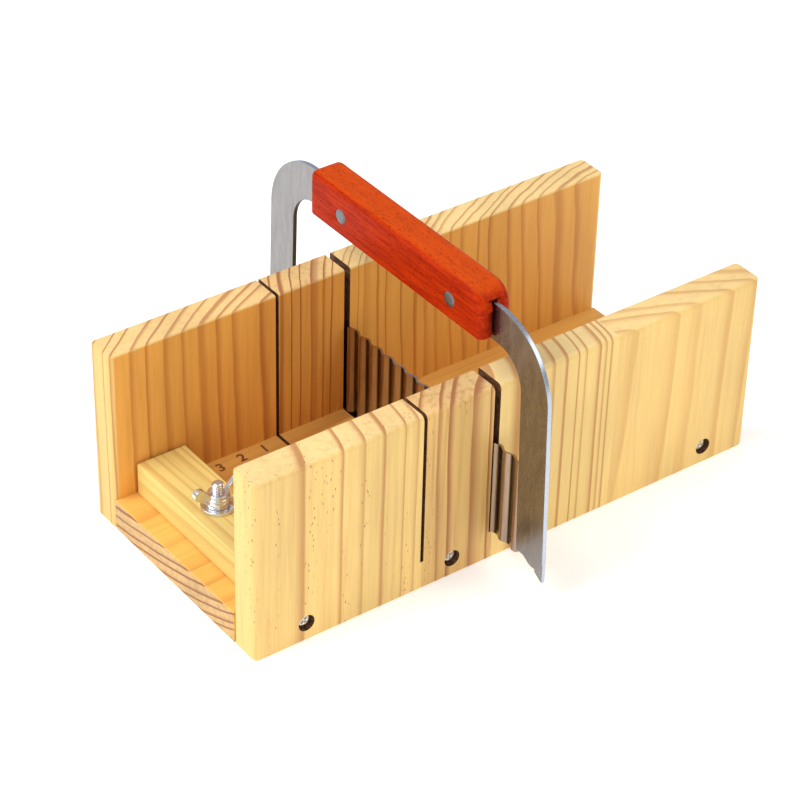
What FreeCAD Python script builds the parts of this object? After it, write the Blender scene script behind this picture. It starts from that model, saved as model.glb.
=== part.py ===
import FreeCAD, Part
import os

# Soap loaf mould: an open pine box with a sliding end stop and a crinkle cutter
# standing in the wide slot.  Millimetres, +Z up.  The origin is the centre of the
# underside, +X runs to the open end, +Y to the rear side board.

V = FreeCAD.Vector

# Box
box_length = 300.0
box_width = 139.0
box_height = 101.4
side_thick = 17.8
base_thick = 17.6
outer_round = 3.0
rear_top_round = 1.2
edge_break = 1.0

# Saw slots across both side boards and just into the base
slot_floor = 16.2
thin_slot_x = -54.8
thin_slot_width = 1.8
wide_slot_x = -13.05
wide_slot_width = 3.5

# Side screws, the same on both sides
screw_xs = (-121.0, -36.6, 122.1)
screw_z = 10.1
screw_sink_radius = 4.4
screw_sink_depth = 5.0
screw_hole_radius = 2.2
screw_pilot_radius = 1.7
screw_radius = 2.0
screw_length = 38.0
screw_head_radius = 3.9
screw_head_height = 2.6
screw_head_round = 1.3
screw_cross_width = 1.1
screw_cross_span = 4.4
screw_cross_depth = 1.5

# End stop and its travel
block_x = -124.0
block_length = 28.0
block_width = 101.4
block_height = 18.0
block_round = 1.2
block_bore_radius = 3.2
block_lift = 0.15
stop_travel_out = 7.0
stop_travel_in = 48.0

# Clamp bolt, M6 coach bolt with its head in a track under the base
bolt_radius = 3.0
bolt_top = 50.0
bolt_tip_chamfer = 0.6
neck_side = 6.0
neck_height = 4.0
bolt_head_radius = 7.5
bolt_head_height = 3.2
bolt_head_dome = 2.5
track_slot_width = 6.6
track_head_width = 16.4
track_head_depth = 5.6
track_end_room = 2.2
bolt_head_gap = 0.15

# Washer and wing nut
washer_radius = 8.5
washer_thick = 1.6
washer_bore_radius = 3.2
nut_gap = 0.1
nut_bore_radius = 3.06
nut_foot_radius = 6.0
nut_neck_radius = 4.7
nut_hub_height = 7.0
wing_thick = 2.8
wing_tip_x = 10.6
wing_tip_z = 9.4
wing_tip_radius = 3.0
wing_root_z = 1.0
wing_belly_x = 6.6
wing_belly_z = 2.6
wing_under_x = 13.2
wing_under_z = 7.9
wing_over_x = 8.9
wing_over_z = 11.9
wing_top_x = 3.8
wing_top_z = 6.4

# Cutter: one steel pressing, flat arms with a crinkled blade between them
cutter_y = 5.0
cutter_half_width = 112.0
cutter_top = 145.5
arm_width = 20.0
arm_foot = 15.8
arm_thick = 2.4
bend_radius = 38.0
blade_foot = 16.4
blade_top = 69.0
blade_thick = 1.2
half_waves = 39
wave_height = 0.8
arm_splay = 2.6

# Foot of each arm: a hollow on the blade's side, a ground corner and a spur below it
corner_cut = 6.0
hollow_height = 3.0
hollow_flat = 4.5
hollow_reach = 10.0
spur_tip = 11.0
spur_toe_y = 3.2
spur_toe_z = 12.6
spur_heel_y = 5.4
spur_heel_z = 14.0
spur_thick = 1.8

# Handle, a single piece of hardwood sawn up the middle for the tang
handle_y = 3.3
handle_length = 137.5
handle_foot = 127.0
handle_height = 25.2
handle_thick = 18.0
handle_near_round = 11.0
handle_far_round = 5.0
handle_edge_round = 3.6
handle_foot_round = 1.2
kerf_width = 3.6
kerf_top = 146.6

# Handle rivets
rivet_spacing = 87.0
rivet_y = 2.2
rivet_z = 137.6
rivet_head_radius = 4.0
rivet_head_depth = 2.0
rivet_radius = 2.5
rivet_fit = 0.02

inner_half = box_width / 2 - side_thick
half_length = box_length / 2
over = 1.0


def block(x0, x1, y0, y1, z0, z1):
    """A plain block between two corners."""
    return Part.makeBox(x1 - x0, y1 - y0, z1 - z0, V(x0, y0, z0))


def mirror_y(shape):
    """The shape mirrored across the box's long centre plane."""
    return shape.mirror(V(0, 0, 0), V(0, 1, 0))


def save(name, shape):
    """Write one sub-part to its STEP file."""
    shape.exportStep("parts/" + name + ".step")


def slot_cutter(x, width, y0, y1):
    """The space a saw slot takes, from the slot's floor to above the boards."""
    return block(x - width / 2, x + width / 2, y0, y1, slot_floor, box_height + over)


def both_slots(y0, y1):
    """The thin and the wide slot between two places across the box."""
    thin = slot_cutter(thin_slot_x, thin_slot_width, y0, y1)
    wide = slot_cutter(wide_slot_x, wide_slot_width, y0, y1)
    return [thin, wide]


def top_edge(board, y):
    """The long top edge of a side board that runs at one place across the box."""
    return [e for e in board.Edges if (e.CenterOfMass - V(0, y, box_height)).Length < 0.01]


def side_board(top_round):
    """Side board on the front: rounded edges, two saw slots, three sunk screw holes."""
    outer_y = -box_width / 2
    inner_y = -inner_half
    board = block(-half_length, half_length, outer_y, inner_y, 0, box_height)
    upright = [e for e in board.Edges if abs(e.CenterOfMass.z - box_height / 2) < 0.01]
    if top_round == outer_round:
        board = board.makeFillet(outer_round, upright + top_edge(board, outer_y))
    else:
        board = board.makeFillet(outer_round, upright)
        board = board.makeFillet(top_round, top_edge(board, outer_y))
    foot = [e for e in board.Edges if abs(e.CenterOfMass.z) < 0.01]
    board = board.makeFillet(edge_break, top_edge(board, inner_y) + foot)
    cuts = both_slots(outer_y - over, inner_y + over)
    for x in screw_xs:
        mouth = V(x, outer_y, screw_z)
        cuts.append(Part.makeCylinder(screw_sink_radius, screw_sink_depth, mouth, V(0, 1, 0)))
        cuts.append(Part.makeCylinder(screw_hole_radius, side_thick + over, mouth, V(0, 1, 0)))
    return board.cut(cuts)


def side_screw(x):
    """Front side screw: pan head at the bottom of its sunk hole, cross recess."""
    seat_y = -box_width / 2 + screw_sink_depth
    face_y = seat_y - screw_head_height
    seat = V(x, seat_y, screw_z)
    shank = Part.makeCylinder(screw_radius, screw_length, seat, V(0, 1, 0))
    head = Part.makeCylinder(screw_head_radius, screw_head_height, V(x, face_y, screw_z), V(0, 1, 0))
    rim = [e for e in head.Edges if abs(e.CenterOfMass.y - face_y) < 0.01]
    head = head.makeFillet(screw_head_round, rim)
    half_span = screw_cross_span / 2
    half_bar = screw_cross_width / 2
    floor_y = face_y + screw_cross_depth
    bar_x = block(x - half_span, x + half_span, face_y - over, floor_y, screw_z - half_bar, screw_z + half_bar)
    bar_z = block(x - half_bar, x + half_bar, face_y - over, floor_y, screw_z - half_span, screw_z + half_span)
    return head.fuse(shank).cut([bar_x, bar_z])


def track_space(width, z0, z1):
    """A lengthwise space under the stop's travel, with round ends."""
    x0 = block_x - stop_travel_out - track_end_room
    x1 = block_x + stop_travel_in + track_end_room
    radius = width / 2
    middle = block(x0, x1, -radius, radius, z0, z1)
    ends = [Part.makeCylinder(radius, z1 - z0, V(x, 0, z0)) for x in (x0, x1)]
    return middle.fuse(ends)


def base_board():
    """Base between the side boards: slot kerfs, the bolt's track and screw pilot holes."""
    board = block(-half_length, half_length, -inner_half, inner_half, 0, base_thick)
    middles = [(e, e.CenterOfMass) for e in board.Edges]
    ends = [e for e, middle in middles if abs(middle.y) < 0.01 and abs(middle.x) > half_length - 0.01]
    board = board.makeFillet(edge_break, ends)
    cuts = both_slots(-inner_half - over, inner_half + over)
    cuts.append(track_space(track_slot_width, -over, base_thick + over))
    cuts.append(track_space(track_head_width, -over, track_head_depth))
    pilot_length = screw_length - (side_thick - screw_sink_depth) + over
    for x in screw_xs:
        pilot = Part.makeCylinder(screw_pilot_radius, pilot_length, V(x, -inner_half, screw_z), V(0, 1, 0))
        cuts.extend([pilot, mirror_y(pilot)])
    return board.cut(cuts)


def stop_block():
    """Sliding end stop, bored for the clamp bolt."""
    foot = base_thick + block_lift
    half = block_length / 2
    body = block(block_x - half, block_x + half, -block_width / 2, block_width / 2, foot, foot + block_height)
    body = body.makeFillet(block_round, body.Edges)
    bore = Part.makeCylinder(block_bore_radius, block_height + 2 * over, V(block_x, 0, foot - over))
    return body.cut(bore)


def clamp_bolt():
    """Coach bolt: domed head under the base, square neck in the track, plain shank."""
    seat = track_head_depth - bolt_head_gap
    shank = Part.makeCylinder(bolt_radius, bolt_top - seat, V(block_x, 0, seat))
    tip = [e for e in shank.Edges if abs(e.CenterOfMass.z - bolt_top) < 0.01]
    shank = shank.makeChamfer(bolt_tip_chamfer, tip)
    head = Part.makeCylinder(bolt_head_radius, bolt_head_height, V(block_x, 0, seat - bolt_head_height))
    rim = [e for e in head.Edges if abs(e.CenterOfMass.z - (seat - bolt_head_height)) < 0.01]
    head = head.makeFillet(bolt_head_dome, rim)
    half = neck_side / 2
    neck = block(block_x - half, block_x + half, -half, half, seat, seat + neck_height)
    return head.fuse([shank, neck])


washer_foot = base_thick + block_lift + block_height
nut_foot = washer_foot + washer_thick + nut_gap


def flat_washer():
    """Plain washer on the stop block."""
    disc = Part.makeCylinder(washer_radius, washer_thick, V(block_x, 0, washer_foot))
    hole = Part.makeCylinder(washer_bore_radius, washer_thick + 2 * over, V(block_x, 0, washer_foot - over))
    return disc.cut(hole)


def nut_wing(side):
    """One wing, a flat ear that rises outwards to a round tip; side is -1 or 1."""
    y0 = -wing_thick / 2
    tip = V(block_x + side * wing_tip_x, y0, nut_foot + wing_tip_z)
    ear = Part.makeCylinder(wing_tip_radius, wing_thick, tip, V(0, 1, 0))
    outline = [
        (0.0, wing_root_z),
        (wing_belly_x, wing_belly_z),
        (wing_under_x, wing_under_z),
        (wing_over_x, wing_over_z),
        (wing_top_x, wing_top_z),
        (0.0, wing_top_z),
    ]
    points = [V(block_x + side * x, y0, nut_foot + z) for x, z in outline]
    web = Part.Face(Part.makePolygon(points + points[:1])).extrude(V(0, wing_thick, 0))
    return web.fuse(ear)


def wing_nut():
    """Wing nut with a tapered hub and a plain bore."""
    hub = Part.makeCone(nut_foot_radius, nut_neck_radius, nut_hub_height, V(block_x, 0, nut_foot))
    body = hub.fuse([nut_wing(-1), nut_wing(1)])
    bore = Part.makeCylinder(nut_bore_radius, nut_hub_height + 2 * over, V(block_x, 0, nut_foot - over))
    return body.cut(bore)


def arch(half_width, top, radius, foot):
    """A plate shaped like an upright U turned over, standing across the box."""
    left = cutter_y - half_width
    right = cutter_y + half_width
    spring = top - radius
    knee = radius * (1 - 0.5 ** 0.5)
    x = wide_slot_x - arm_thick / 2
    near_arc = Part.Arc(V(x, left, spring), V(x, left + knee, top - knee), V(x, left + radius, top))
    far_arc = Part.Arc(V(x, right - radius, top), V(x, right - knee, top - knee), V(x, right, spring))
    near_foot = V(x, left - arm_splay, foot)
    far_foot = V(x, right + arm_splay, foot)
    edges = [
        Part.makeLine(near_foot, V(x, left, spring)),
        near_arc.toShape(),
        Part.makeLine(V(x, left + radius, top), V(x, right - radius, top)),
        far_arc.toShape(),
        Part.makeLine(V(x, right, spring), far_foot),
        Part.makeLine(far_foot, near_foot),
    ]
    return Part.Face(Part.Wire(edges)).extrude(V(arm_thick, 0, 0))


def wave_line(x, y0, half_pitch, z):
    """Edges of one crinkled line along Y: tangent arcs, bulging to either side in turn."""
    edges = []
    for half in range(half_waves):
        start = y0 + half * half_pitch
        bulge = -wave_height if half % 2 == 0 else wave_height
        crest = V(x + bulge, start + half_pitch / 2, z)
        edges.append(Part.Arc(V(x, start, z), crest, V(x, start + half_pitch, z)).toShape())
    return edges


def crinkled_blade():
    """The crinkled sheet between the two arms."""
    span = 2 * (cutter_half_width - arm_width + arm_splay)
    y0 = cutter_y - span / 2
    y1 = cutter_y + span / 2
    half_pitch = span / half_waves
    x_back = wide_slot_x - blade_thick / 2
    x_front = wide_slot_x + blade_thick / 2
    edges = wave_line(x_back, y0, half_pitch, blade_foot)
    edges.append(Part.makeLine(V(x_back, y1, blade_foot), V(x_front, y1, blade_foot)))
    edges.extend(wave_line(x_front, y0, half_pitch, blade_foot))
    edges.append(Part.makeLine(V(x_front, y0, blade_foot), V(x_back, y0, blade_foot)))
    outline = Part.Wire(Part.__sortEdges__(edges))
    return Part.Face(outline).extrude(V(0, 0, blade_top - blade_foot))


def flat_piece(points, thick):
    """A thin flat piece across the box from (y, z) points, centred on the cutter's plane."""
    x = wide_slot_x - thick / 2
    corners = [V(x, y, z) for y, z in points]
    return Part.Face(Part.makePolygon(corners + corners[:1])).extrude(V(thick, 0, 0))


def arm_corner(side):
    """What is ground off one arm's foot, as a list, and the spur below it."""
    outer = cutter_y + side * (cutter_half_width + arm_splay)
    inner = outer - side * corner_cut
    blade_side = outer - side * arm_width
    corner = [(outer, arm_foot + corner_cut), (outer, arm_foot), (inner, arm_foot)]
    hollow = [
        (blade_side - side * over, arm_foot - over),
        (blade_side - side * over, arm_foot + hollow_height),
        (blade_side + side * hollow_flat, arm_foot + hollow_height),
        (blade_side + side * hollow_reach, arm_foot),
        (blade_side + side * hollow_reach, arm_foot - over),
    ]
    spur = [
        (outer, arm_foot + corner_cut + over),
        (outer, spur_tip),
        (outer - side * spur_toe_y, spur_toe_z),
        (outer - side * spur_heel_y, spur_heel_z),
        (inner, arm_foot),
        (inner, arm_foot + over),
    ]
    off = [flat_piece(corner, arm_thick + over), flat_piece(hollow, arm_thick + over)]
    return off, flat_piece(spur, spur_thick)


def rivet_places():
    """Where the two rivets stand along the handle."""
    return [rivet_y - rivet_spacing / 2, rivet_y + rivet_spacing / 2]


def cutter_blade():
    """The whole steel pressing with its rivet holes."""
    outer = arch(cutter_half_width, cutter_top, bend_radius, arm_foot)
    inner_radius = bend_radius - arm_width
    inner = arch(cutter_half_width - arm_width, cutter_top - arm_width, inner_radius, arm_foot - over)
    plate = outer.cut(inner)
    spurs = []
    for side in (-1, 1):
        ground_off, spur = arm_corner(side)
        plate = plate.cut(ground_off)
        spurs.append(spur)
    plate = plate.fuse(spurs + [crinkled_blade()])
    x = wide_slot_x - arm_thick
    for y in rivet_places():
        hole = Part.makeCylinder(rivet_radius + rivet_fit, 2 * arm_thick, V(x, y, rivet_z), V(1, 0, 0))
        plate = plate.cut(hole)
    return plate


def handle_outline(x):
    """The handle's side outline: sharp foot corners, a big round at the near top corner."""
    y0 = handle_y - handle_length / 2
    y1 = handle_y + handle_length / 2
    z0 = handle_foot
    z1 = handle_foot + handle_height
    near = handle_near_round
    far = handle_far_round
    near_knee = near * (1 - 0.5 ** 0.5)
    far_knee = far * (1 - 0.5 ** 0.5)
    far_arc = Part.Arc(V(x, y1, z1 - far), V(x, y1 - far_knee, z1 - far_knee), V(x, y1 - far, z1))
    near_arc = Part.Arc(V(x, y0 + near, z1), V(x, y0 + near_knee, z1 - near_knee), V(x, y0, z1 - near))
    edges = [
        Part.makeLine(V(x, y0, z0), V(x, y1, z0)),
        Part.makeLine(V(x, y1, z0), V(x, y1, z1 - far)),
        far_arc.toShape(),
        Part.makeLine(V(x, y1 - far, z1), V(x, y0 + near, z1)),
        near_arc.toShape(),
        Part.makeLine(V(x, y0, z1 - near), V(x, y0, z0)),
    ]
    return Part.Face(Part.Wire(edges))


def rivet_head_spaces(y, radius):
    """The two round seats that a rivet's heads fill, flush with the handle's sides."""
    left = wide_slot_x - handle_thick / 2
    right = wide_slot_x + handle_thick / 2 - rivet_head_depth
    return [Part.makeCylinder(radius, rivet_head_depth, V(x, y, rivet_z), V(1, 0, 0)) for x in (left, right)]


def rivet_shank(y, radius):
    """The rivet's pin through the whole handle."""
    x = wide_slot_x - handle_thick / 2
    return Part.makeCylinder(radius, handle_thick, V(x, y, rivet_z), V(1, 0, 0))


def handle():
    """Hardwood handle with a kerf from below for the tang and seats for the rivets."""
    x0 = wide_slot_x - handle_thick / 2
    body = handle_outline(x0).extrude(V(handle_thick, 0, 0))
    x1 = x0 + handle_thick
    rims = [e for e in body.Edges if min(abs(e.CenterOfMass.x - x0), abs(e.CenterOfMass.x - x1)) < 0.01]
    upper = [e for e in rims if e.CenterOfMass.z > handle_foot + over]
    body = body.makeFillet(handle_edge_round, upper)
    lower = [e for e in body.Edges if abs(e.CenterOfMass.z - handle_foot) < 0.01]
    body = body.makeFillet(handle_foot_round, lower)
    kerf_back = wide_slot_x + arm_thick / 2
    reach = handle_length / 2 + over
    cuts = [block(kerf_back - kerf_width, kerf_back, handle_y - reach, handle_y + reach,
                  handle_foot - over, kerf_top)]
    for y in rivet_places():
        cuts.extend(rivet_head_spaces(y, rivet_head_radius + rivet_fit))
        cuts.append(rivet_shank(y, rivet_radius + rivet_fit))
    return body.cut(cuts)


def handle_rivet(y):
    """Cutler's rivet: a pin with a flush round head at each side."""
    return rivet_shank(y, rivet_radius).fuse(rivet_head_spaces(y, rivet_head_radius))


save("front_side_board", side_board(outer_round))
save("rear_side_board", mirror_y(side_board(rear_top_round)))
save("base_board", base_board())
for number, screw_x in enumerate(screw_xs, start=1):
    screw = side_screw(screw_x)
    save("front_screw_%d" % number, screw)
    save("rear_screw_%d" % number, mirror_y(screw))
save("stop_block", stop_block())
save("clamp_bolt", clamp_bolt())
save("flat_washer", flat_washer())
save("wing_nut", wing_nut())
save("cutter_blade", cutter_blade())
save("handle", handle())
for name, place in zip(("near_rivet", "far_rivet"), rivet_places()):
    save(name, handle_rivet(place))
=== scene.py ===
"""Finished pieces, materials and stage for a wooden soap loaf mould, laid out as a Blender add-on."""

import math
from collections import namedtuple

import bmesh
import bpy
from bpy.props import FloatProperty, FloatVectorProperty, IntProperty, PointerProperty
from mathutils import Matrix, Vector


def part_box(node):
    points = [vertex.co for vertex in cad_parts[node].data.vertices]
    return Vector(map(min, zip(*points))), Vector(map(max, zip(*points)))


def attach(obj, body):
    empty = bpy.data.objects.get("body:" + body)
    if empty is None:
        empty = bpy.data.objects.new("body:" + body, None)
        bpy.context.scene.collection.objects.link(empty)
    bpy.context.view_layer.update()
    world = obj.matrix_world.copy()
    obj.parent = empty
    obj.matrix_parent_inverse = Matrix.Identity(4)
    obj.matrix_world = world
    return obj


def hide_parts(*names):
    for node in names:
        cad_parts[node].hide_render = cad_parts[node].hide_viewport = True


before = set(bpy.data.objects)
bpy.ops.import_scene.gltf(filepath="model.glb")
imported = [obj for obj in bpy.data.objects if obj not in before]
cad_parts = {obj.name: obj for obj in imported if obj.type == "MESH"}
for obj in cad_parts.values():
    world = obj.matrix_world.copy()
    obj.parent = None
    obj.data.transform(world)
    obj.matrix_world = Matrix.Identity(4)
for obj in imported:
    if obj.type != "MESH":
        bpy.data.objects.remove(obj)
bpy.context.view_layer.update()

bl_info = {
    "name": "Soap Loaf Mould",
    "version": (1, 0, 0),
    "blender": (4, 5, 0),
    "location": "View3D > Sidebar > Loaf Mould",
    "description": "Builds the boards, stop, fittings and crinkle cutter of a soap loaf mould",
    "category": "Add Mesh",
}

MM = 0.001

base_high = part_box("base_board")[1]
bolt_low, bolt_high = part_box("clamp_bolt")
cutter_low, cutter_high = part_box("cutter_blade")
handle_low, handle_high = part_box("handle")
rivet_low, rivet_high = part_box("near_rivet")

# The cutter's plane and centre
plane_x = (handle_low.x + handle_high.x) / 2
cutter_y = (cutter_low.y + cutter_high.y) / 2
bolt_x = (bolt_low.x + bolt_high.x) / 2

# Saw slots: centre and width
THIN_SLOT = (-54.8 * MM, 1.8 * MM)
WIDE_SLOT = (-13.05 * MM, 3.5 * MM)
SLOT_FLOOR = 16.2 * MM

# Painted reflection: the warm wood around the crinkled sheet, mixed into the steel's colour
PAINTED_WOOD_REFLECTION = (0.46, 0.33, 0.24)

# Painted light: how much paler upward faces are drawn than upright ones, as if lit from above
PAINTED_TOP_LIGHT = (1.03, 1.09, 1.38, 1.0)

WHITE = (1.0, 1.0, 1.0)
BLACK = (0.0, 0.0, 0.0)
UP = Vector((0, 0, 1))

# One stave of a glued board, in millimetres.  start and end are its places along X.  pith is where
# its growth rings are centred, ring the first ring's width, crowd the power by which later rings
# narrow, narrow the power that thins the dark part of each ring, and wander how far they stray.
# honey moves its ground from cream towards honey, rust moves it towards rust, and line_rust does
# so for its lines.  strength darkens the lines, streak and fleck are how much it has of soft
# streaks and resin specks, and seed makes it differ from the others.
Stave = namedtuple(
    "Stave", "name start end pith ring crowd narrow wander honey rust line_rust strength streak fleck seed"
)

FRONT_STAVES = [Stave(*row) for row in (
    ("front_left", -150, -54.8, (-172, -44), 55.7, 2.45, 2.6, 0.6, 0.18, 0.00, 0.70, 1.10, 0.25, 1.6, 3.1),
    ("front_middle", -54.8, -13.05, (60, -150), 8.0, 1, 1.3, 1.6, 0.40, 0.17, 0.95, 1.30, 0.45, 1.0, 7.7),
    ("front_striped", -13.05, 60, (-44, -45), 37.7, 2.27, 0.9, 0.4, 0.06, 0.00, 0.55, 1.70, 0.06, 0.1, 12.4),
    ("front_right", 60, 150, (-6, -286), 8.5, 1, 1.0, 1.4, 0.24, 0.00, 0.42, 0.80, 0.22, 0.1, 15.2),
)]
REAR_STAVES = [Stave(*row) for row in (
    ("rear_left", -150, -54.8, (38, -161), 5.9, 1, 1.5, 1.2, 0.42, 0.05, 0.80, 1.15, 0.20, 0.1, 21.3),
    ("rear_middle", -54.8, -13.05, (34, 14), 5.6, 1, 1.4, 1.4, 0.45, 0.06, 1.00, 1.30, 0.30, 0.2, 25.9),
    ("rear_right", -13.05, 150, (200, -170), 4.6, 1, 1.5, 2.0, 0.14, 0.00, 0.70, 1.00, 0.16, 0.1, 31.6),
)]
BASE_STAVE = Stave("base", 0, 0, (-390, 105), 4.9, 1, 1.2, 0.8, 0.40, 0.0, 0.62, 0.70, 0.30, 0.2, 44.2)
STOP_STAVE = Stave("stop", 0, 0, (-170, -10), 4.6, 1, 1.3, 1.0, 0.03, 0.00, 0.36, 0.90, 0.3, 0.0, 51.5)

# Each burnt numeral with its centre, in millimetres
NUMERALS = (("1", -66.6, 46), ("2", -80.1, 46), ("3", -93.2, 45), ("4", -107.0, 44))

# The wing nut's collars: radius and height above its foot, in millimetres
NUT_COLLARS = (
    (0, 0.1), (5.9, 0.1), (5.9, 1.7), (4.6, 2.3), (4.6, 2.7), (5.7, 3.2), (5.7, 4.7), (4.5, 5.3), (4.5, 5.7),
    (5.2, 6.0), (5.2, 6.8), (0, 6.8),
)

# The spur of a cutter arm's foot: inwards from the arm's edge and up from the tip, in millimetres
SPUR = ((0, 0), (1.6, 0.5), (3.2, 1.6), (5.4, 3))


# Settings


def colour_setting(name, words, default):
    """A colour that a user may change."""
    return FloatVectorProperty(name=name, description=words, subtype="COLOR", size=3, default=default)


def length_setting(name, words, default):
    """A length that a user may change, in metres."""
    return FloatProperty(name=name, description=words, subtype="DISTANCE", unit="LENGTH", default=default)


def share_setting(name, words, default):
    """A share from nothing to one that a user may change."""
    return FloatProperty(name=name, description=words, subtype="FACTOR", min=0, max=1, default=default)


def power_setting(name, default):
    """A lamp's power that a user may change."""
    return FloatProperty(name=name, description="Power in watts", unit="POWER", min=0, default=default)


def light_setting(name, words, default):
    """A strength of light that a user may change."""
    return FloatProperty(name=name, description=words, min=0, default=default)


class PineLook(bpy.types.PropertyGroup):
    """Colours and figure of the pine boards."""

    cream: colour_setting("Cream", "Palest early wood", (0.85, 0.60, 0.215))
    honey: colour_setting("Honey", "Golden early wood", (0.80, 0.46, 0.13))
    rust: colour_setting("Rust", "Late wood lines and heartwood", (0.40, 0.15, 0.045))
    # Char is also the colour of the painted shade in the slots and holes
    char: colour_setting("Char", "Burnt marks and saw slots", (0.055, 0.020, 0.008))
    # Painted shade: the side boards' inner faces are drawn darker and more orange, as the shade and warm
    # bounce inside the box
    inner_shade_tint: colour_setting("Inner shade tint", "Painted shade on the inner faces", (1.0, 0.78, 0.48))
    figure: share_setting("Figure", "Strength of the growth lines", 0.85)
    polish: share_setting("Roughness", "Roughness of the sanded face", 0.52)


class CutterLook(bpy.types.PropertyGroup):
    """Sizes of the steel cutter and colours of its steel and handle."""

    arm_width: length_setting("Arm width", "Width of the flat arms", 20 * MM)
    arm_thick: length_setting("Arm thickness", "Thickness of the arms", 2.4 * MM)
    bend_radius: length_setting("Bend radius", "Outer radius of the shoulders", 38 * MM)
    arm_splay: length_setting("Splay", "How far each foot stands out", 2.6 * MM)
    arm_foot: length_setting("Foot height", "Height of the arms' feet at rest", 15.8 * MM)
    corner_cut: length_setting("Ground corner", "Length ground off each foot's corner", 6 * MM)
    foot_hollow: length_setting("Foot hollow", "Depth of the hollow on the blade's side of each foot", 3 * MM)
    blade_foot: length_setting("Blade foot", "Height of the cutting edge at rest", 16.4 * MM)
    blade_top: length_setting("Blade top", "Height of the blade's upper edge at rest", 69 * MM)
    blade_thick: length_setting("Blade thickness", "Sheet thickness", 1.2 * MM)
    wave_height: length_setting("Wave height", "Height of each crinkle", 0.8 * MM)
    half_waves: IntProperty(name="Half waves", description="Number of half waves", min=2, default=39)
    steel: colour_setting("Steel", "Colour of the brushed steel", (0.29, 0.28, 0.28))
    # The sheared edges' paler bluish colour is partly their ground finish and partly a painted highlight
    edge_steel_and_highlight: colour_setting("Ground steel", "Colour of the sheared edges", (0.47, 0.53, 0.62))
    red: colour_setting("Red", "Handle colour on its ridges", (0.49, 0.030, 0.001))
    deep_red: colour_setting("Deep red", "Handle colour in its grain", (0.32, 0.012, 0.0008))


class FittingLook(bpy.types.PropertyGroup):
    """Sizes and colours of the small steel fittings and the burnt numerals."""

    thread_pitch: length_setting("Thread pitch", "Pitch of the bolt's thread", 1.0 * MM)
    thread_depth: length_setting("Thread depth", "Depth of the bolt's thread", 0.55 * MM)
    numeral_height: length_setting("Numeral height", "Height of the burnt numerals", 6.2 * MM)
    zinc: colour_setting("Zinc", "Colour of the zinc plating", (0.80, 0.82, 0.85))
    screw_steel: colour_setting("Screw steel", "Colour of the screws", (0.85, 0.80, 0.72))
    rivet_steel: colour_setting("Rivet steel", "Colour of the rivets", (0.20, 0.22, 0.24))


class StageLook(bpy.types.PropertyGroup):
    """Floor, lights and sky around the mould."""

    floor: colour_setting("Floor", "Colour of the floor", (0.95, 0.95, 0.95))
    key_power: power_setting("Key light", 28)
    front_power: power_setting("Front light", 8)
    side_power: power_setting("Side light", 6)
    sky: light_setting("Sky", "Strength of the white surroundings", 0.5)
    glow: light_setting("Floor glow", "Light that the lit floor sends out", 0.31)


# Node helpers


def add_node(tree, kind, settings, sockets):
    """Adds a node, sets its options, and gives each socket a value or a link."""
    node = tree.nodes.new(kind)
    for name, value in settings.items():
        setattr(node, name, value)
    for key, value in sockets.items():
        if isinstance(value, bpy.types.NodeSocket):
            tree.links.new(value, node.inputs[key])
        else:
            node.inputs[key].default_value = value
    return node


def add_socket(tree, side, name, kind):
    """Gives a node group one named input or output."""
    tree.interface.new_socket(name, in_out=side, socket_type="NodeSocket" + kind)


def sums(tree, operation, first, second=0.0, third=0.0):
    """One step of arithmetic."""
    sockets = {0: first, 1: second}
    if operation == "MULTIPLY_ADD":
        sockets[2] = third
    return add_node(tree, "ShaderNodeMath", {"operation": operation}, sockets).outputs[0]


def times(tree, first, second):
    """One value times another."""
    return sums(tree, "MULTIPLY", first, second)


def ramp(tree, value, low, high, start=0.0, end=1.0):
    """Turns a value from low to high into a smooth step from start to end."""
    sockets = {0: value, 1: low, 2: high, 3: start, 4: end}
    return add_node(tree, "ShaderNodeMapRange", {"interpolation_type": "SMOOTHSTEP"}, sockets).outputs[0]


def mix_colours(tree, share, first, second, blend="MIX"):
    """A colour between two others."""
    settings = {"data_type": "RGBA", "blend_type": blend}
    return add_node(tree, "ShaderNodeMix", settings, {0: share, 6: first, 7: second}).outputs[2]


def shaded(tree, colour, value):
    """A colour made lighter or darker by a value."""
    grey = add_node(tree, "ShaderNodeCombineXYZ", {}, {0: value, 1: value, 2: value}).outputs[0]
    return mix_colours(tree, 1.0, colour, grey, "MULTIPLY")


def stretched(tree, place, x, y, z):
    """A place scaled by its own amount along each axis."""
    settings = {"operation": "MULTIPLY"}
    return add_node(tree, "ShaderNodeVectorMath", settings, {0: place, 1: (x, y, z)}).outputs[0]


def mottle(tree, place, scale, detail=2.0, roughness=0.5):
    """Soft noise around a half."""
    sockets = {"Vector": place, "Scale": scale, "Detail": detail, "Roughness": roughness}
    return add_node(tree, "ShaderNodeTexNoise", {}, sockets).outputs[0]


def rgba(colour):
    """A colour with full alpha."""
    return (colour[0], colour[1], colour[2], 1.0)


def between(first, second, share):
    """A colour part of the way from one to another."""
    return tuple(a + (b - a) * share for a, b in zip(first, second))


def open_material(name):
    """A new material with a shader, its tree and the object's own coordinates."""
    material = bpy.data.materials.new(name)
    material.use_nodes = True
    tree = material.node_tree
    tree.nodes.clear()
    shader = tree.nodes.new("ShaderNodeBsdfPrincipled")
    output = tree.nodes.new("ShaderNodeOutputMaterial")
    tree.links.new(shader.outputs[0], output.inputs[0])
    place = tree.nodes.new("ShaderNodeTexCoord").outputs["Object"]
    return material, tree, shader, place


def raise_surface(tree, shader, height, distance, strength=1.0):
    """Bump from a height."""
    sockets = {"Height": height, "Distance": distance, "Strength": strength}
    bump = add_node(tree, "ShaderNodeBump", {}, sockets)
    tree.links.new(bump.outputs[0], shader.inputs["Normal"])


# Materials


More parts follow.
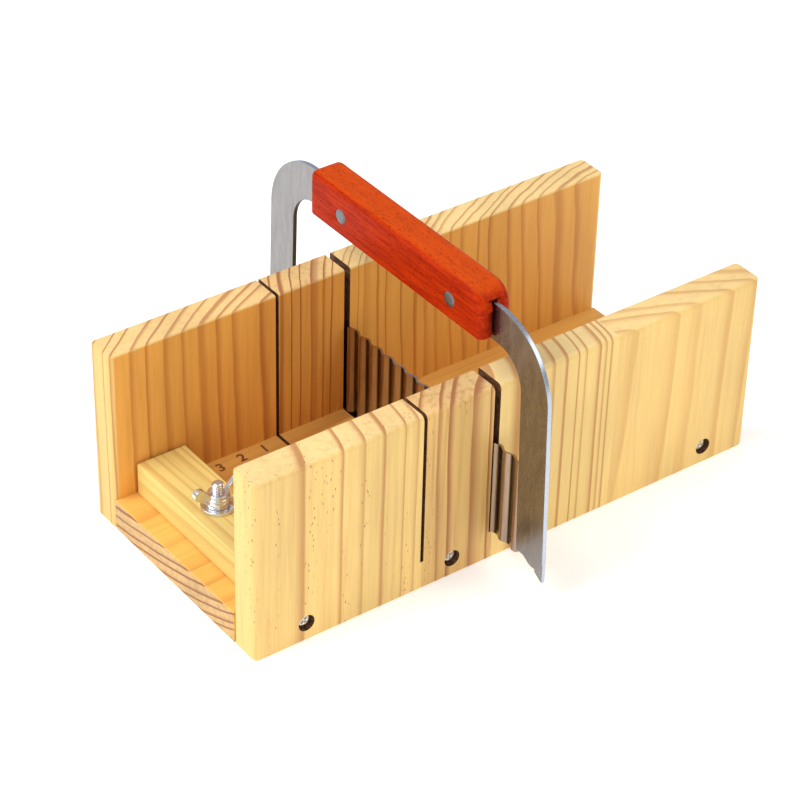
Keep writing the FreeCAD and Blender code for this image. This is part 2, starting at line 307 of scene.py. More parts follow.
def solid_pine_group():
    """Pine through and through: rings about the local Z axis, fibres along it."""
    found = bpy.data.node_groups.get("solid_pine")
    if found:
        return found
    group = bpy.data.node_groups.new("solid_pine", "ShaderNodeTree")
    amounts = ("Ring Width", "Crowd", "Narrow", "Wander", "Figure", "Streaks", "Flecks", "Seed")
    add_socket(group, "INPUT", "Place", "Vector")
    add_socket(group, "INPUT", "Ground", "Color")
    add_socket(group, "INPUT", "Line", "Color")
    for name in amounts:
        add_socket(group, "INPUT", name, "Float")
    add_socket(group, "OUTPUT", "Color", "Color")
    add_socket(group, "OUTPUT", "Roughness", "Float")
    add_socket(group, "OUTPUT", "Height", "Float")
    given = group.nodes.new("NodeGroupInput").outputs
    place = stretched(group, given["Place"], 1000, 1000, 1000)
    seed = given["Seed"]
    seeds = add_node(group, "ShaderNodeCombineXYZ", {}, {0: seed, 1: seed, 2: seed}).outputs[0]
    shift = stretched(group, seeds, 17, 29, 41)
    here = add_node(group, "ShaderNodeVectorMath", {"operation": "ADD"}, {0: place, 1: shift}).outputs[0]

    # Distance from the pith, bent a little by slow and quicker waves
    flat = stretched(group, place, 1, 1, 0)
    radius = add_node(group, "ShaderNodeVectorMath", {"operation": "LENGTH"}, {0: flat}).outputs["Value"]
    slow = mottle(group, stretched(group, here, 0.016, 0.016, 0.0065), 1.0, 1.0)
    quick = mottle(group, stretched(group, here, 0.085, 0.085, 0.018), 1.0, 2.0)
    wander = given["Wander"]
    far_wander = times(group, wander, 3)
    slow_shift = times(group, sums(group, "SUBTRACT", slow, 0.5), far_wander)
    quick_shift = times(group, sums(group, "SUBTRACT", quick, 0.5), wander)
    bent = sums(group, "ADD", radius, sums(group, "ADD", slow_shift, quick_shift))
    years = sums(group, "POWER", sums(group, "DIVIDE", bent, given["Ring Width"]), given["Crowd"])
    uneven = add_node(
        group, "ShaderNodeTexNoise", {"noise_dimensions": "1D"},
        {"W": sums(group, "ADD", years, seed), "Scale": 0.7, "Detail": 1.0},
    ).outputs[0]
    years = sums(group, "ADD", years, sums(group, "MULTIPLY_ADD", uneven, 1.0, -0.5))
    year = sums(group, "FLOOR", years)
    season = sums(group, "FRACT", years)
    chance = add_node(
        group, "ShaderNodeTexWhiteNoise", {"noise_dimensions": "1D"}, {"W": sums(group, "ADD", year, seed)}
    ).outputs["Value"]

    # Late wood darkens slowly through the year and ends sharply
    start = sums(group, "MULTIPLY_ADD", chance, 0.25, 0.40)
    rise = sums(group, "POWER", ramp(group, season, start, 0.92), given["Narrow"])
    fall = ramp(group, season, 0.93, 1.0, 1.0, 0.0)
    weight = sums(group, "MULTIPLY_ADD", chance, 0.45, 0.55)
    late = times(group, times(group, rise, fall), weight)

    # Fibres, broad tone and resin flecks that gather in a few rings
    fibre = mottle(group, stretched(group, here, 1.5, 1.5, 0.03), 1.0, 4.0, 0.65)
    streak = mottle(group, stretched(group, here, 0.32, 0.32, 0.008), 1.0, 3.0, 0.6)
    tone = mottle(group, stretched(group, here, 0.03, 0.03, 0.01), 1.0, 2.0)
    cell = add_node(
        group, "ShaderNodeTexVoronoi", {}, {"Vector": stretched(group, here, 0.62, 0.62, 0.22), "Scale": 1.0}
    ).outputs["Distance"]
    gather = ramp(group, mottle(group, stretched(group, here, 0.11, 0.11, 0.006), 1.0, 1.0), 0.50, 0.62)
    fleck = times(group, ramp(group, cell, 0.12, 0.24, 1.0, 0.0), gather)
    fleck = times(group, fleck, given["Flecks"])

    band = times(group, late, given["Figure"])
    soft = times(group, ramp(group, streak, 0.42, 0.75), given["Streaks"])
    colour = mix_colours(group, soft, given["Ground"], given["Line"])
    colour = mix_colours(group, band, colour, given["Line"])
    shade = sums(group, "MULTIPLY_ADD", ramp(group, fibre, 0.32, 0.68), 0.08, 0.95)
    broad = sums(group, "MULTIPLY_ADD", ramp(group, tone, 0.3, 0.7), 0.14, 0.93)
    colour = shaded(group, colour, times(group, shade, broad))
    colour = mix_colours(group, times(group, fleck, 0.5), colour, (0.22, 0.08, 0.02, 1))
    roughness = sums(group, "MULTIPLY_ADD", fibre, 0.16, -0.08)
    height = sums(group, "SUBTRACT", sums(group, "MULTIPLY_ADD", fibre, 0.35, band), fleck)
    output = group.nodes.new("NodeGroupOutput")
    group.links.new(colour, output.inputs["Color"])
    group.links.new(roughness, output.inputs["Roughness"])
    group.links.new(height, output.inputs["Height"])
    return group


def upward(tree):
    """One on faces that look straight up, falling to nothing on upright ones."""
    normal = tree.nodes.new("ShaderNodeTexCoord").outputs["Normal"]
    return ramp(tree, add_node(tree, "ShaderNodeSeparateXYZ", {}, {0: normal}).outputs[2], 0.6, 0.97)


def pine_material(look, stave, kind="", tint=WHITE, turn=(0.0, 0.0, 0.0), lean=(0.0, 0.0), top_light=1.0):
    """Pine for one stave.  tint colours it, turn brings its grain upright, lean tips its pith a little,
    and the last argument is how far its upward faces are made paler, as painted top light, which also
    strengthens their lines."""
    material, tree, shader, place = open_material("pine_" + stave.name + kind)
    pith = (stave.pith[0] * MM, stave.pith[1] * MM)
    upright = place
    if any(turn):
        upright = add_node(tree, "ShaderNodeMapping", {}, {"Vector": place, "Rotation": turn}).outputs[0]
    centred = add_node(
        tree, "ShaderNodeMapping", {}, {"Vector": upright, "Location": (-pith[0], -pith[1], 0.0)}
    ).outputs[0]
    tilted = add_node(
        tree, "ShaderNodeMapping", {}, {"Vector": centred, "Rotation": (lean[0], lean[1], 0.0)}
    ).outputs[0]
    ground = between(between(look.cream, look.honey, stave.honey), look.rust, stave.rust)
    ground = [part * share for part, share in zip(ground, tint)]
    line = [part * share for part, share in zip(between(look.honey, look.rust, stave.line_rust), tint)]
    top = upward(tree)
    figure = stave.strength * look.figure
    wood = add_node(
        tree, "ShaderNodeGroup", {"node_tree": solid_pine_group()},
        {
            "Place": tilted,
            "Ground": rgba(ground),
            "Line": rgba(line),
            "Ring Width": stave.ring,
            "Crowd": stave.crowd,
            "Narrow": stave.narrow,
            "Wander": stave.wander,
            "Figure": sums(tree, "MULTIPLY_ADD", top, figure * 0.6 * top_light, figure),
            "Streaks": stave.streak,
            "Flecks": stave.fleck,
            "Seed": stave.seed,
        },
    ).outputs
    # Painted light: upward faces are made paler, as if lit from above
    lit_top_colour = mix_colours(tree, times(tree, top, top_light), wood["Color"], PAINTED_TOP_LIGHT, "MULTIPLY")
    tree.links.new(lit_top_colour, shader.inputs["Base Color"])
    tree.links.new(sums(tree, "ADD", wood["Roughness"], look.polish), shader.inputs["Roughness"])
    shader.inputs["Specular IOR Level"].default_value = 0.35
    raise_surface(tree, shader, wood["Height"], 0.08 * MM, 0.6)
    return material


def scorched_and_shaded_material(look):
    """Wood that a saw or drill has darkened, drawn dark enough to be the painted shade of the slots and holes
    it lines as well.
    """
    found = bpy.data.materials.get("scorched_and_shaded_pine")
    if found:
        return found
    material, tree, shader, place = open_material("scorched_and_shaded_pine")
    saw_marks = mottle(tree, stretched(tree, place, 300, 300, 1500), 1.0, 3.0)
    brown = between(look.char, look.rust, 0.45)
    colour = mix_colours(tree, ramp(tree, saw_marks, 0.35, 0.7), rgba(look.char), rgba(brown))
    tree.links.new(colour, shader.inputs["Base Color"])
    shader.inputs["Roughness"].default_value = 0.75
    raise_surface(tree, shader, saw_marks, 0.1 * MM)
    return material


def burnt_material(look):
    """Ink-dark burnt numerals with uneven edges."""
    material, tree, shader, place = open_material("burnt_mark")
    patch = mottle(tree, place, 900.0, 3.0)
    colour = mix_colours(tree, ramp(tree, patch, 0.25, 0.75), rgba(look.char), rgba(look.rust))
    tree.links.new(colour, shader.inputs["Base Color"])
    shader.inputs["Roughness"].default_value = 0.8
    raise_surface(tree, shader, patch, 0.05 * MM)
    return material


def steel_material(name, colour, along, roughness, scratch=0.12):
    """Brushed steel.  along stretches its lines: they run along the axis that has the smallest number."""
    material, tree, shader, place = open_material(name)
    lines = mottle(tree, stretched(tree, place, *along), 1.0, 4.0, 0.7)
    cloud = mottle(tree, place, 20.0, 1.0)
    shade = sums(tree, "MULTIPLY_ADD", ramp(tree, lines, 0.25, 0.75), scratch * 2, 1 - scratch)
    shade = times(tree, shade, sums(tree, "MULTIPLY_ADD", ramp(tree, cloud, 0.3, 0.7), 0.08, 0.96))
    tree.links.new(shaded(tree, rgba(colour), shade), shader.inputs["Base Color"])
    rough = sums(tree, "MULTIPLY_ADD", lines, 0.16, roughness - 0.08)
    tree.links.new(rough, shader.inputs["Roughness"])
    shader.inputs["Metallic"].default_value = 1.0
    raise_surface(tree, shader, lines, 0.006 * MM, 0.5)
    return material


def cast_zinc_material(look):
    """Zinc plated casting: bright, faintly pitted."""
    found = bpy.data.materials.get("zinc_plate")
    if found:
        return found
    material, tree, shader, place = open_material("zinc_plate")
    grain = mottle(tree, place, 1400.0, 3.0)
    cloud = mottle(tree, place, 160.0, 2.0)
    shade = sums(tree, "MULTIPLY_ADD", ramp(tree, cloud, 0.3, 0.7), 0.2, 0.85)
    tree.links.new(shaded(tree, rgba(look.zinc), shade), shader.inputs["Base Color"])
    tree.links.new(sums(tree, "MULTIPLY_ADD", cloud, 0.2, 0.16), shader.inputs["Roughness"])
    shader.inputs["Metallic"].default_value = 1.0
    raise_surface(tree, shader, grain, 0.008 * MM, 0.5)
    return material


def hardwood_material(look):
    """Red oiled hardwood with long open pores along Y."""
    material, tree, shader, place = open_material("red_hardwood")
    here = stretched(tree, place, 1000, 1000, 1000)
    wave = mottle(tree, stretched(tree, here, 0.16, 0.02, 0.16), 1.0, 3.0, 0.6)
    ribbon = ramp(tree, mottle(tree, stretched(tree, here, 0.55, 0.035, 0.55), 1.0, 3.0, 0.6), 0.35, 0.68)
    pore_noise = mottle(tree, stretched(tree, here, 2.6, 0.32, 2.6), 1.0, 2.0, 0.5)
    pores = ramp(tree, pore_noise, 0.60, 0.70)
    fine = mottle(tree, stretched(tree, here, 4.0, 0.12, 4.0), 1.0, 3.0, 0.7)
    colour = mix_colours(tree, ribbon, rgba(look.deep_red), rgba(look.red))
    colour = mix_colours(tree, ramp(tree, wave, 0.58, 0.8, 0.0, 0.3), colour, (0.66, 0.08, 0.004, 1))
    colour = mix_colours(tree, ramp(tree, fine, 0.3, 0.7, 0.0, 0.15), colour, (0.70, 0.06, 0.004, 1))
    # Painted light: upward faces of the handle are drawn lighter and more orange, as if lit from above
    sawn_wall_or_lit_top = times(tree, upward(tree), 0.5)
    colour = mix_colours(tree, sawn_wall_or_lit_top, colour, (0.74, 0.105, 0.008, 1))
    colour = mix_colours(tree, times(tree, pores, 0.8), colour, (0.10, 0.006, 0.002, 1))
    tree.links.new(colour, shader.inputs["Base Color"])
    tree.links.new(sums(tree, "MULTIPLY_ADD", pores, 0.25, 0.42), shader.inputs["Roughness"])
    shader.inputs["Specular IOR Level"].default_value = 0.05
    height = sums(tree, "SUBTRACT", times(tree, fine, 0.4), pores)
    raise_surface(tree, shader, height, 0.1 * MM, 0.7)
    return material


def floor_material(look):
    """Matt white studio floor with a trace of unevenness."""
    material, tree, shader, place = open_material("studio_floor")
    cloud = mottle(tree, place, 3.0, 2.0)
    shade = ramp(tree, cloud, 0.2, 0.8, 0.99, 1.0)
    tree.links.new(shaded(tree, rgba(look.floor), shade), shader.inputs["Base Color"])
    shader.inputs["Roughness"].default_value = 0.9
    shader.inputs["Specular IOR Level"].default_value = 0.1
    shader.inputs["Emission Color"].default_value = (1.0, 1.0, 1.0, 1.0)
    shader.inputs["Emission Strength"].default_value = look.glow
    return material


# Mesh helpers


def merged_copy(node):
    """A CAD node's mesh as a closed bmesh, in metres."""
    made = bmesh.new()
    made.from_mesh(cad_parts[node].data)
    bmesh.ops.remove_doubles(made, verts=made.verts, dist=1e-6)
    return made


def new_piece(name, made, materials, smooth_angle=30.0):
    """Turns a bmesh into an object at the origin, smooth except at its sharp edges."""
    mesh = bpy.data.meshes.new(name)
    made.normal_update()
    made.to_mesh(mesh)
    made.free()
    piece = bpy.data.objects.new(name, mesh)
    bpy.context.scene.collection.objects.link(piece)
    for material in materials:
        mesh.materials.append(material)
    mesh.shade_smooth()
    mesh.set_sharp_from_angle(angle=math.radians(smooth_angle))
    return piece


def add_modifier(piece, kind, settings):
    """Adds one modifier with its settings."""
    modifier = piece.modifiers.new(kind.lower(), kind)
    for name, value in settings.items():
        setattr(modifier, name, value)
    return modifier


def round_edges(piece, width, segments, angle):
    """Rounds every edge that turns by more than an angle, given in degrees."""
    limit = math.radians(angle)
    settings = {"width": width, "segments": segments, "limit_method": "ANGLE", "angle_limit": limit}
    add_modifier(piece, "BEVEL", settings)


def even_normals(piece):
    """Keeps flat faces flat where they meet rounded edges."""
    add_modifier(piece, "WEIGHTED_NORMAL", {"mode": "FACE_AREA_WITH_ANGLE", "keep_sharp": True})


def make_plain(piece):
    """Replaces a piece's mesh by what its modifiers make of it."""
    bpy.context.view_layer.update()
    graph = bpy.context.evaluated_depsgraph_get()
    finished = piece.evaluated_get(graph)
    made = bpy.data.meshes.new_from_object(finished, preserve_all_data_layers=True, depsgraph=graph)
    piece.modifiers.clear()
    piece.data = made
    return piece


def lathe(made, profile, origin, axis, steps):
    """Adds a closed turned shape: profile holds (radius, height) pairs along axis from origin."""
    across = axis.orthogonal().normalized()
    third = axis.cross(across).normalized()
    rings = []
    for radius, height in profile:
        middle = origin + axis * height
        if radius == 0:
            rings.append([made.verts.new(middle)])
            continue
        ring = []
        for step in range(steps):
            angle = 2 * math.pi * step / steps
            outwards = across * math.cos(angle) + third * math.sin(angle)
            ring.append(made.verts.new(middle + outwards * radius))
        rings.append(ring)
    for lower, upper in zip(rings, rings[1:]):
        for step in range(steps):
            after = (step + 1) % steps
            corners = [lower[step % len(lower)], lower[after % len(lower)]]
            corners += [upper[after % len(upper)], upper[step % len(upper)]]
            made.faces.new(list(dict.fromkeys(corners)))


def prism(made, outline, low_x, high_x):
    """Adds a plate: a (y, z) outline between two places along X."""
    front = [made.verts.new((low_x, y, z)) for y, z in outline]
    back = [made.verts.new((high_x, y, z)) for y, z in outline]
    made.faces.new(front)
    made.faces.new(list(reversed(back)))
    count = len(outline)
    for index in range(count):
        after = (index + 1) % count
        made.faces.new([front[index], back[index], back[after], front[after]])


def node_tree_with_inputs(name, inputs):
    """An empty Geometry Nodes tree with named inputs; returns the tree and its input sockets."""
    tree = bpy.data.node_groups.new(name, "GeometryNodeTree")
    add_socket(tree, "INPUT", "Geometry", "Geometry")
    for label, kind in inputs:
        add_socket(tree, "INPUT", label, kind)
    add_socket(tree, "OUTPUT", "Geometry", "Geometry")
    return tree, tree.nodes.new("NodeGroupInput").outputs


def end_tree(tree, geometry, material):
    """Realizes instances, sets the material and joins the tree's output."""
    real = add_node(tree, "GeometryNodeRealizeInstances", {}, {0: geometry}).outputs[0]
    sockets = {"Geometry": real, "Material": material}
    painted = add_node(tree, "GeometryNodeSetMaterial", {}, sockets).outputs[0]
    output = tree.nodes.new("NodeGroupOutput")
    tree.links.new(painted, output.inputs[0])


def grow(piece, tree, values):
    """Runs a Geometry Nodes tree on a piece with the named values and keeps the result as a plain mesh."""
    modifier = piece.modifiers.new(tree.name, "NODES")
    modifier.node_group = tree
    for item in tree.interface.items_tree:
        if item.in_out == "INPUT" and item.name in values:
            modifier[item.identifier] = values[item.name]
    return make_plain(piece)


def repeated(name, template, places, turns, material, seed):
    """Puts a template at each place: turned about Z by turns, then at random about its own X."""
    tree, given = node_tree_with_inputs(
        name + "_layout",
        (("Template", "Object"), ("Material", "Material"), ("Seed", "Int"), ("Spin", "Float")),
    )
    turn = add_node(
        tree, "GeometryNodeInputNamedAttribute", {"data_type": "FLOAT"}, {"Name": "turn"}
    ).outputs[0]
    angles = add_node(tree, "ShaderNodeCombineXYZ", {}, {2: turn}).outputs[0]
    rotation = add_node(tree, "FunctionNodeEulerToRotation", {}, {0: angles}).outputs[0]
    shape = add_node(tree, "GeometryNodeObjectInfo", {"transform_space": "ORIGINAL"}, {0: given["Template"]})
    placed = add_node(
        tree, "GeometryNodeInstanceOnPoints", {},
        {"Points": given["Geometry"], "Instance": shape.outputs["Geometry"], "Rotation": rotation},
    ).outputs[0]
    chance = add_node(
        tree, "FunctionNodeRandomValue", {"data_type": "FLOAT"},
        {2: 0.0, 3: given["Spin"], "Seed": given["Seed"]},
    ).outputs[1]
    spin = add_node(tree, "ShaderNodeCombineXYZ", {}, {0: chance}).outputs[0]
    turned = add_node(
        tree, "GeometryNodeRotateInstances", {}, {"Instances": placed, "Rotation": spin}
    ).outputs[0]
    end_tree(tree, turned, given["Material"])
    mesh = bpy.data.meshes.new(name)
    mesh.from_pydata([tuple(place) for place in places], [], [])
    attribute = mesh.attributes.new("turn", "FLOAT", "POINT")
    attribute.data.foreach_set("value", turns)
    piece = bpy.data.objects.new(name, mesh)
    bpy.context.scene.collection.objects.link(piece)
    grow(piece, tree, {"Template": template, "Material": material, "Seed": seed, "Spin": math.pi})
    unused = template.data
    bpy.data.objects.remove(template)
    bpy.data.meshes.remove(unused)
    return piece


# Boards


def in_slot(x, margin=0.05 * MM):
    """True within either saw slot."""
    return any(abs(x - middle) <= width / 2 + margin for middle, width in (THIN_SLOT, WIDE_SLOT))


def screw_names(side):
    """The CAD nodes of the screws on one side."""
    return ["%s_screw_%d" % (side, number) for number in (1, 2, 3)]


def centre_of(node):
    """The centre of a CAD node."""
    low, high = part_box(node)
    return (low + high) / 2


def cut_at(made, x):
    """Divides the faces of a mesh where they cross one plane across X."""
    everything = made.verts[:] + made.edges[:] + made.faces[:]
    bmesh.ops.bisect_plane(made, geom=everything, plane_co=(x, 0, 0), plane_no=(1, 0, 0), dist=1e-7)


def side_board(node, side, staves, look):
    """One side board: a material for each stave, and scorched pine with painted recess shade in its slots and
    screw holes.
    """
    made = merged_copy(node)
    for stave in staves[1:]:
        cut_at(made, stave.start * MM)
    low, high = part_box(node)
    outer = low.y if side == "front" else high.y
    sink_radius = 4.4 * MM
    inner_depth = 17 * MM
    skin = 0.05 * MM
    centres = [centre_of(screw) for screw in screw_names(side)]
    made.normal_update()
    for face in made.faces:
        middle = face.calc_center_median()
        depth = abs(middle.y - outer)
        inner_face = abs(face.normal.y) > 0.99 and depth > inner_depth
        for index, stave in enumerate(staves):
            if stave.start * MM <= middle.x <= stave.end * MM:
                face.material_index = index + (len(staves) if inner_face else 0)
        # Slot walls and screw-hole walls get the scorched pine: saw and drill marks with painted recess shade
        sawn_wall_or_lit_top = in_slot(middle.x) and middle.z > SLOT_FLOOR - 0.1 * MM and abs(face.normal.y) < 0.7
        from_screw = min(math.hypot(middle.x - screw.x, middle.z - screw.z) for screw in centres)
        drilled = from_screw < sink_radius and depth > skin and not inner_face
        if sawn_wall_or_lit_top or drilled:
            face.material_index = 2 * len(staves)
    lean = (0.02, -0.015)
    materials = [pine_material(look, stave, lean=lean) for stave in staves]
    # Each stave's inner faces get a darker, more orange copy of its pine: painted shade inside the box
    materials += [pine_material(look, stave, "_inner", look.inner_shade_tint, lean=lean) for stave in staves]
    materials.append(scorched_and_shaded_material(look))
    bmesh.ops.dissolve_limit(
        made, angle_limit=math.radians(1), verts=made.verts, edges=made.edges, delimit={"MATERIAL"}
    )
    piece = new_piece(node + "_wood", made, materials)
    round_edges(piece, 0.4 * MM, 2, 60)
    even_normals(piece)
    make_plain(piece)
    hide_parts(node)
    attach(piece, "box")
    return piece


class LOAFMOULD_OT_side_boards(bpy.types.Operator):
    """Build the front and rear side boards with their staves and saw slots"""

    bl_idname = "loaf_mould.side_boards"
    bl_label = "Side boards"

    def execute(self, context):
        look = context.scene.loaf_pine
        side_board("front_side_board", "front", FRONT_STAVES, look)
        side_board("rear_side_board", "rear", REAR_STAVES, look)
        return {"FINISHED"}


class LOAFMOULD_OT_base_board(bpy.types.Operator):
    """Build the base board with its kerfs and the bolt's track"""

    bl_idname = "loaf_mould.base_board"
    bl_label = "Base board"

    def execute(self, context):
        look = context.scene.loaf_pine
        made = merged_copy("base_board")
        made.normal_update()
        end_round = 1.5 * MM
        skin = 0.1 * MM
        for face in made.faces:
            middle = face.calc_center_median()
            inside = abs(middle.x) < base_high.x - end_round and abs(middle.y) < base_high.y - skin
            outside = middle.z > base_high.z - skin or middle.z < skin
            # Faces inside the kerfs and the bolt's track get the scorched pine, which carries painted recess
            # shade
            if inside and not outside:
                face.material_index = 1
            elif abs(face.normal.x) > 0.8:
                face.material_index = 2
        upright = (0.0, math.radians(-90), 0.0)
        lean = (0.01, 0.02)
        end_stave = BASE_STAVE._replace(
            name="base_end", narrow=0.9, honey=0.3, rust=0.06, line_rust=1.0, strength=2.2, streak=0.4
        )
        wood = pine_material(look, BASE_STAVE, "", (1.10, 0.93, 0.66), upright, lean, 0.0)
        end_wood = pine_material(look, end_stave, "", (0.80, 0.79, 0.95), upright, lean)
        piece = new_piece("base_board_wood", made, [wood, scorched_and_shaded_material(look), end_wood])
        even_normals(piece)
        make_plain(piece)
        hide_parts("base_board")
        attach(piece, "box")
        return {"FINISHED"}


class LOAFMOULD_OT_numerals(bpy.types.Operator):
    """Burn the numerals of the slice scale into the base"""

    bl_idname = "loaf_mould.numerals"
    bl_label = "Slice numerals"

    def execute(self, context):
        look = context.scene.loaf_pine
        height = context.scene.loaf_fittings.numeral_height
        made = bmesh.new()
        cap_share = 1.35
        ink = 0.02 * MM
        for text, x, y in NUMERALS:
            curve = bpy.data.curves.new("numeral", "FONT")
            curve.body = text
            curve.size = height * cap_share
            curve.align_x = "CENTER"
            curve.align_y = "CENTER"
            curve.extrude = ink
            curve.offset = 0.24 * MM
            holder = bpy.data.objects.new("numeral", curve)
            context.scene.collection.objects.link(holder)
            context.view_layer.update()
            mesh = bpy.data.meshes.new_from_object(holder.evaluated_get(context.evaluated_depsgraph_get()))
            mesh.transform(Matrix.Translation((x * MM, y * MM, base_high.z + ink / 2)))
            made.from_mesh(mesh)
            bpy.data.objects.remove(holder)
            bpy.data.curves.remove(curve)
            bpy.data.meshes.remove(mesh)
        bmesh.ops.remove_doubles(made, verts=made.verts, dist=1e-7)
        for face in made.faces:
            face.material_index = 0
        piece = new_piece("slice_numerals", made, [burnt_material(look)])
        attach(piece, "box")
        return {"FINISHED"}


class LOAFMOULD_OT_stop_block(bpy.types.Operator):
    """Build the sliding end stop"""

    bl_idname = "loaf_mould.stop_block"
    bl_label = "Stop block"

    def execute(self, context):
        look = context.scene.loaf_pine
        bore_radius = 3.4 * MM
        made = merged_copy("stop_block")
        for face in made.faces:
            middle = face.calc_center_median()
            # The bolt's bore gets the scorched pine, which carries painted recess shade
            if math.hypot(middle.x - bolt_x, middle.y) < bore_radius and abs(face.normal.z) < 0.5:
                face.material_index = 1
        across = (math.radians(90), 0.0, 0.0)
        # Its upward faces are made a little paler as painted top light
        wood = pine_material(look, STOP_STAVE, "", (1.0, 1.08, 0.96), across, (0.015, 0.02), 0.2)
        piece = new_piece("stop_block_wood", made, [wood, scorched_and_shaded_material(look)])
        even_normals(piece)
        make_plain(piece)
        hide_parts("stop_block")
        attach(piece, "stop")
        return {"FINISHED"}


# Fittings


class LOAFMOULD_OT_side_screws(bpy.types.Operator):
    """Set the six cross-recess screws at the bottom of their sunk holes"""

    bl_idname = "loaf_mould.side_screws"
    bl_label = "Side screws"

    def execute(self, context):
        look = context.scene.loaf_fittings
        node = "front_screw_1"
        made = merged_copy(node)
        face = Vector((centre_of(node).x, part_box(node)[0].y, centre_of(node).z))
        place = Matrix.Rotation(math.radians(90), 4, "Z") @ Matrix.Translation(-face)
        bmesh.ops.transform(made, matrix=place, verts=made.verts)
        template = new_piece("screw_template", made, [], 35.0)
        round_edges(template, 0.18 * MM, 2, 50)
        make_plain(template)
        places = []
        for screw in screw_names("front"):
            places.append((centre_of(screw).x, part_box(screw)[0].y, centre_of(screw).z))
        for screw in screw_names("rear"):
            places.append((centre_of(screw).x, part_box(screw)[1].y, centre_of(screw).z))
        turns = [math.radians(-90)] * 3 + [math.radians(90)] * 3
        steel = steel_material("screw_steel", look.screw_steel, (900, 900, 900), 0.32)
        piece = repeated("side_screws", template, places, turns, steel, 4)
        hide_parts(*screw_names("front"), *screw_names("rear"))
        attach(piece, "box")
        return {"FINISHED"}


class LOAFMOULD_OT_clamp_bolt(bpy.types.Operator):
    """Build the coach bolt with a rolled thread"""

    bl_idname = "loaf_mould.clamp_bolt"
    bl_label = "Clamp bolt"

    def execute(self, context):
        look = context.scene.loaf_fittings
        radius = 3.0 * MM
        core = radius - look.thread_depth
        head_radius = (bolt_high.x - bolt_low.x) / 2
        head_height = 3.2 * MM
        neck = 6.0 * MM
        neck_top = bolt_low.z + head_height + 4.0 * MM
        thread_foot = 24 * MM
        made = bmesh.new()
        dome = []
        for step in range(9):
            angle = math.radians(90 * step / 8)
            dome.append((head_radius * math.sin(angle), head_height * 0.8 * (1 - math.cos(angle))))
        dome.append((head_radius, head_height))
        dome.append((radius, head_height))
        shank = [(radius, thread_foot - bolt_low.z), (core, thread_foot - bolt_low.z + 0.4 * MM)]
        tip = bolt_high.z - bolt_low.z
        shank += [(core, tip - 0.5 * MM), (core - 0.5 * MM, tip), (0, tip)]
        lathe(made, dome + shank, Vector((bolt_x, 0, bolt_low.z)), UP, 48)
        outline = [(-neck / 2, bolt_low.z + head_height), (neck / 2, bolt_low.z + head_height)]
        outline += [(neck / 2, neck_top), (-neck / 2, neck_top)]
        prism(made, outline, bolt_x - neck / 2, bolt_x + neck / 2)
        bmesh.ops.recalc_face_normals(made, faces=made.faces)
        zinc = cast_zinc_material(look)
        piece = new_piece("clamp_bolt_steel", made, [zinc])
        tree, given = node_tree_with_inputs(
            "bolt_thread",
            (("Radius", "Float"), ("Depth", "Float"), ("Pitch", "Float"), ("Length", "Float"),
             ("Foot", "Vector"), ("Material", "Material")),
        )
        turns = sums(tree, "DIVIDE", given["Length"], given["Pitch"])
        line_radius = sums(tree, "SUBTRACT", given["Radius"], given["Depth"])
        spiral = add_node(
            tree, "GeometryNodeCurveSpiral", {},
            {"Resolution": 40, "Rotations": turns, "Start Radius": line_radius, "End Radius": line_radius,
             "Height": given["Length"]},
        ).outputs[0]
        upright = add_node(tree, "GeometryNodeSetCurveNormal", {"mode": "Z_UP"}, {0: spiral}).outputs[0]
        ridge = add_node(
            tree, "GeometryNodeCurvePrimitiveCircle", {}, {"Resolution": 6, "Radius": given["Depth"]}
        ).outputs[0]
        thread = add_node(
            tree, "GeometryNodeCurveToMesh", {}, {"Curve": upright, "Profile Curve": ridge, "Fill Caps": True}
        ).outputs[0]
        moved = add_node(
            tree, "GeometryNodeTransform", {}, {"Geometry": thread, "Translation": given["Foot"]}
        ).outputs[0]
        joined = tree.nodes.new("GeometryNodeJoinGeometry")
        tree.links.new(given["Geometry"], joined.inputs[0])
        tree.links.new(moved, joined.inputs[0])
        end_tree(tree, joined.outputs[0], given["Material"])
        bare_tip = 0.9 * MM
        grow(
            piece, tree,
            {"Radius": radius, "Depth": look.thread_depth, "Pitch": look.thread_pitch, "Material": zinc,
             "Length": bolt_high.z - thread_foot - bare_tip, "Foot": (bolt_x, 0.0, thread_foot)},
        )
        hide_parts("clamp_bolt")
        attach(piece, "stop")
        return {"FINISHED"}


class LOAFMOULD_OT_flat_washer(bpy.types.Operator):
    """Build the flat washer with its stamped, slightly rounded edges"""

    bl_idname = "loaf_mould.flat_washer"
    bl_label = "Flat washer"

    def execute(self, context):
        made = merged_copy("flat_washer")
        piece = new_piece("flat_washer_steel", made, [cast_zinc_material(context.scene.loaf_fittings)])
        round_edges(piece, 0.3 * MM, 3, 50)
        even_normals(piece)
        make_plain(piece)
        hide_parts("flat_washer")
        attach(piece, "stop")
        return {"FINISHED"}


class LOAFMOULD_OT_wing_nut(bpy.types.Operator):
    """Build the cast wing nut with its soft fillets"""

    bl_idname = "loaf_mould.wing_nut"
    bl_label = "Wing nut"

    def execute(self, context):
        made = merged_copy("wing_nut")
        nut_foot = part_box("wing_nut")[0].z
        profile = [(radius * MM, height * MM) for radius, height in NUT_COLLARS]
        lathe(made, profile, Vector((bolt_x, 0, nut_foot)), UP, 48)
        bmesh.ops.recalc_face_normals(made, faces=made.faces)
        piece = new_piece("wing_nut_casting", made, [cast_zinc_material(context.scene.loaf_fittings)], 180.0)
        add_modifier(piece, "REMESH", {"mode": "VOXEL", "voxel_size": 0.22 * MM, "use_smooth_shade": True})
        add_modifier(piece, "SMOOTH", {"factor": 0.5, "iterations": 4})
        make_plain(piece)
        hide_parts("wing_nut")
        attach(piece, "nut")
        return {"FINISHED"}


# Cutter


